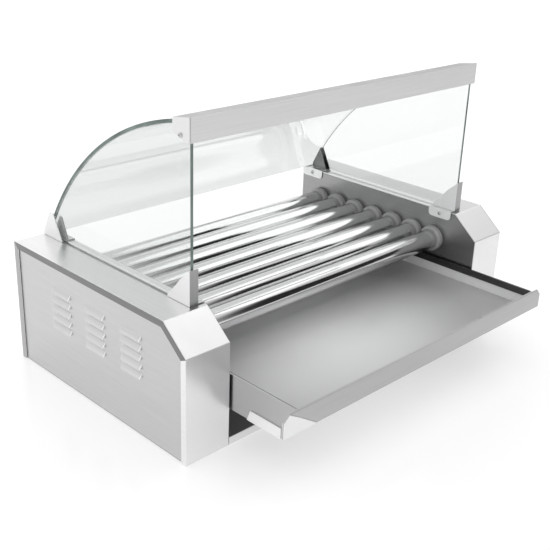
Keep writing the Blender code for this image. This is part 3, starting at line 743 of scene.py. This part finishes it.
def make_knob(number):
    """A fluted knob with a white pointer, over a printed dial."""
    node = f"thermostat_knob_{number}"
    low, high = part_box(node)
    y, z = (low.y + high.y) / 2, (low.z + high.z) / 2
    face = CONTROL_FACE
    skirt = (high.z - low.z) / 2
    profile = [(-5 * MM, 0), (-5 * MM, 3 * MM), (0.8 * MM, 3 * MM), (0.8 * MM, skirt - 0.4 * MM)]
    profile += [(1.2 * MM, skirt), (3 * MM, skirt), (3.6 * MM, skirt - 0.8 * MM), (4.4 * MM, 15 * MM)]
    profile += [(5 * MM, 14.4 * MM), (14.6 * MM, 13.4 * MM), (15.6 * MM, 12.6 * MM), (16 * MM, 11.4 * MM)]
    profile += [(16 * MM, 0)]
    knob = turned(f"dial_knob_{number}", profile, (face, y, z), 0, BLACK, 96)
    for vertex in knob.data.vertices:
        across = vertex.co - Vector((face, y, z))
        if across.x > 4.8 * MM and Vector((across.y, across.z)).length > 11 * MM:
            angle = math.atan2(across.z, across.y)
            pull = 1 - 0.045 * (0.5 + 0.5 * math.cos(16 * angle))
            vertex.co.y = y + across.y * pull
            vertex.co.z = z + across.z * pull
    mount(knob, f"knob_{number}", [node])
    low = (face + 15.7 * MM, y - 0.7 * MM, z + 4 * MM)
    line = box(f"knob_pointer_{number}", low, (face + 16.2 * MM, y + 0.7 * MM, z + 12 * MM), WHITE)
    mount(soften(line, 0.1 * MM), f"knob_{number}")
    marks = []
    for step in range(10):
        angle = math.radians(225 - 30 * step)
        tick = box("tick", (0, -0.5 * MM, 20.6 * MM), (0.15 * MM, 0.5 * MM, 23.4 * MM), BLACK)
        tick.data.transform(Matrix.Rotation(angle - math.pi / 2, 4, "X"))
        tick.data.transform(Matrix.Translation((face, y, z)))
        marks.append(tick)
    mount(merged(f"dial_marks_{number}", marks, BLACK), ROOT)


def make_lamp_and_gland():
    """The pilot lamp's faceted lens and the ribbed cable gland."""
    low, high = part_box("pilot_lamp")
    y, z = (low.y + high.y) / 2, (low.z + high.z) / 2
    lens = [(-8 * MM, 0), (-8 * MM, 4.6 * MM), (0.3 * MM, 4.6 * MM)]
    lens += [(0.3 * MM, 6.5 * MM), (1.6 * MM, 6.5 * MM)]
    lens += [(2 * MM, 6.1 * MM), (2 * MM, 5 * MM), (3.2 * MM, 4.6 * MM), (4.2 * MM, 3 * MM), (4.6 * MM, 0)]
    mount(turned("lamp_lens", lens, (CONTROL_FACE, y, z), 0, RED, 40), ROOT, ["pilot_lamp"])
    low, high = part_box("cable_gland")
    centre = ((low.x + high.x) / 2, low.y, (low.z + high.z) / 2)
    gland = [(0, 4 * MM), (0, 10 * MM), (2.6 * MM, 10 * MM), (3 * MM, 9.6 * MM), (3 * MM, 7.5 * MM)]
    for rib in range(4):
        start = 4 * MM + rib * 1.8 * MM
        radius = 7.4 * MM - rib * 0.2 * MM
        gland += [(start, radius), (start + 0.9 * MM, radius), (start + 1.0 * MM, radius - 0.6 * MM)]
        gland += [(start + 1.7 * MM, radius - 0.6 * MM)]
    gland += [(11 * MM, 6.3 * MM), (11 * MM, 4 * MM)]
    mount(turned("gland_ring", gland, centre, 1, BLACK, 40), ROOT, ["cable_gland"])


make_knob(1)
make_knob(2)
make_lamp_and_gland()


# --- studio ------------------------------------------------------------------

def make_floor():
    """A wide pale floor with a soft gloss."""
    mesh = bpy.data.meshes.new("studio_floor")
    size = 30.0
    corners = [(-size, -size, 0), (size, -size, 0), (size, size, 0), (-size, size, 0)]
    mesh.from_pydata(corners, [], [(0, 1, 2, 3)])
    finish, tree, shader = new_material("floor_pale")
    shade = noise(tree, (1.5, 1.5, 1.5), 2.0)
    tree.links.new(ramp(tree, shade, grey(0.63), grey(0.65)), shader.inputs["Base Color"])
    shader.inputs["Emission Color"].default_value = (1.0, 1.0, 1.0, 1.0)
    shader.inputs["Emission Strength"].default_value = 0.48
    shader.inputs["Roughness"].default_value = 0.16
    shader.inputs["Specular IOR Level"].default_value = 0.25
    floor = bpy.data.objects.new("studio_floor", mesh)
    bpy.context.scene.collection.objects.link(floor)
    mesh.materials.append(finish)
    floor.location.z = -0.0004


def sun(name, towards, spread, power):
    """A broad, even lamp that shines from a direction."""
    lamp = bpy.data.lights.new(name, "SUN")
    lamp.angle = math.radians(spread)
    lamp.energy = power
    holder = bpy.data.objects.new(name, lamp)
    bpy.context.scene.collection.objects.link(holder)
    holder.rotation_mode = "QUATERNION"
    holder.rotation_quaternion = Vector(towards).to_track_quat("Z", "Y")


def make_world():
    """A soft room, bright at the back, with two dark flags that give the rollers their lines."""
    world = bpy.data.worlds.new("studio")
    bpy.context.scene.world = world
    world.use_nodes = True
    tree = world.node_tree
    back = tree.nodes["Background"]
    place = add(tree, "ShaderNodeTexCoord").outputs["Generated"]

    def lobe(towards, start, stop, low, high):
        """A grey value that grows towards a direction."""
        dot = add(tree, "ShaderNodeVectorMath", operation="DOT_PRODUCT")
        dot.inputs[1].default_value = Vector(towards).normalized()
        tree.links.new(place, dot.inputs[0])
        return ramp(tree, dot.outputs["Value"], low, high, start, stop)

    def times(first, second):
        """The product of two grey values."""
        node = add(tree, "ShaderNodeVectorMath", operation="MULTIPLY")
        tree.links.new(first, node.inputs[0])
        tree.links.new(second, node.inputs[1])
        return node.outputs["Vector"]

    glow = lobe((-0.1, 0.9, 0.3), 0.0, 0.8, 0.8, 1.12)
    rear_flag = lobe((0.62, 0.48, 0.62), 0.955, 0.985, 1.0, 0.12)
    front_flag = lobe((0.74, -0.62, 0.25), 0.76, 0.88, 1.0, 0.03)
    room = times(times(glow, rear_flag), front_flag)
    path = add(tree, "ShaderNodeLightPath")
    seen = add(tree, "ShaderNodeMath", operation="MAXIMUM")
    tree.links.new(path.outputs["Is Camera Ray"], seen.inputs[0])
    tree.links.new(path.outputs["Is Transmission Ray"], seen.inputs[1])
    backdrop = add(tree, "ShaderNodeMixRGB", blend_type="MIX")
    backdrop.inputs["Color2"].default_value = (1.0, 1.0, 1.0, 1.0)
    tree.links.new(seen.outputs[0], backdrop.inputs["Fac"])
    tree.links.new(room, backdrop.inputs["Color1"])
    tree.links.new(backdrop.outputs[0], back.inputs["Color"])
    back.inputs["Strength"].default_value = 1.0


def make_camera():
    """The view from the front left, above the hood, with a little roll and no shift."""
    azimuth, elevation, roll = -0.793284, 0.408306, 0.0374776
    distance, target = 1.275417, Vector((0.0042037, 0.0, 0.0881737))
    back = Vector((
        math.sin(azimuth) * math.cos(elevation),
        -math.cos(azimuth) * math.cos(elevation),
        math.sin(elevation),
    ))
    right = (-back).cross(Vector((0, 0, 1))).normalized()
    up = right.cross(-back)
    turned_right = right * math.cos(roll) + up * math.sin(roll)
    turned_up = up * math.cos(roll) - right * math.sin(roll)
    data = bpy.data.cameras.new("camera")
    data.sensor_width = 36.0
    data.lens = 61.294516
    camera = bpy.data.objects.new("camera", data)
    bpy.context.scene.collection.objects.link(camera)
    axes = Matrix((turned_right, turned_up, back)).transposed().to_4x4()
    camera.matrix_world = Matrix.Translation(target + back * distance) @ axes
    bpy.context.scene.camera = camera


make_floor()
sun("key", (0.66, -0.12, 0.72), 54, 0.46)
make_world()
make_camera()
bpy.context.scene.view_settings.view_transform = "Standard"
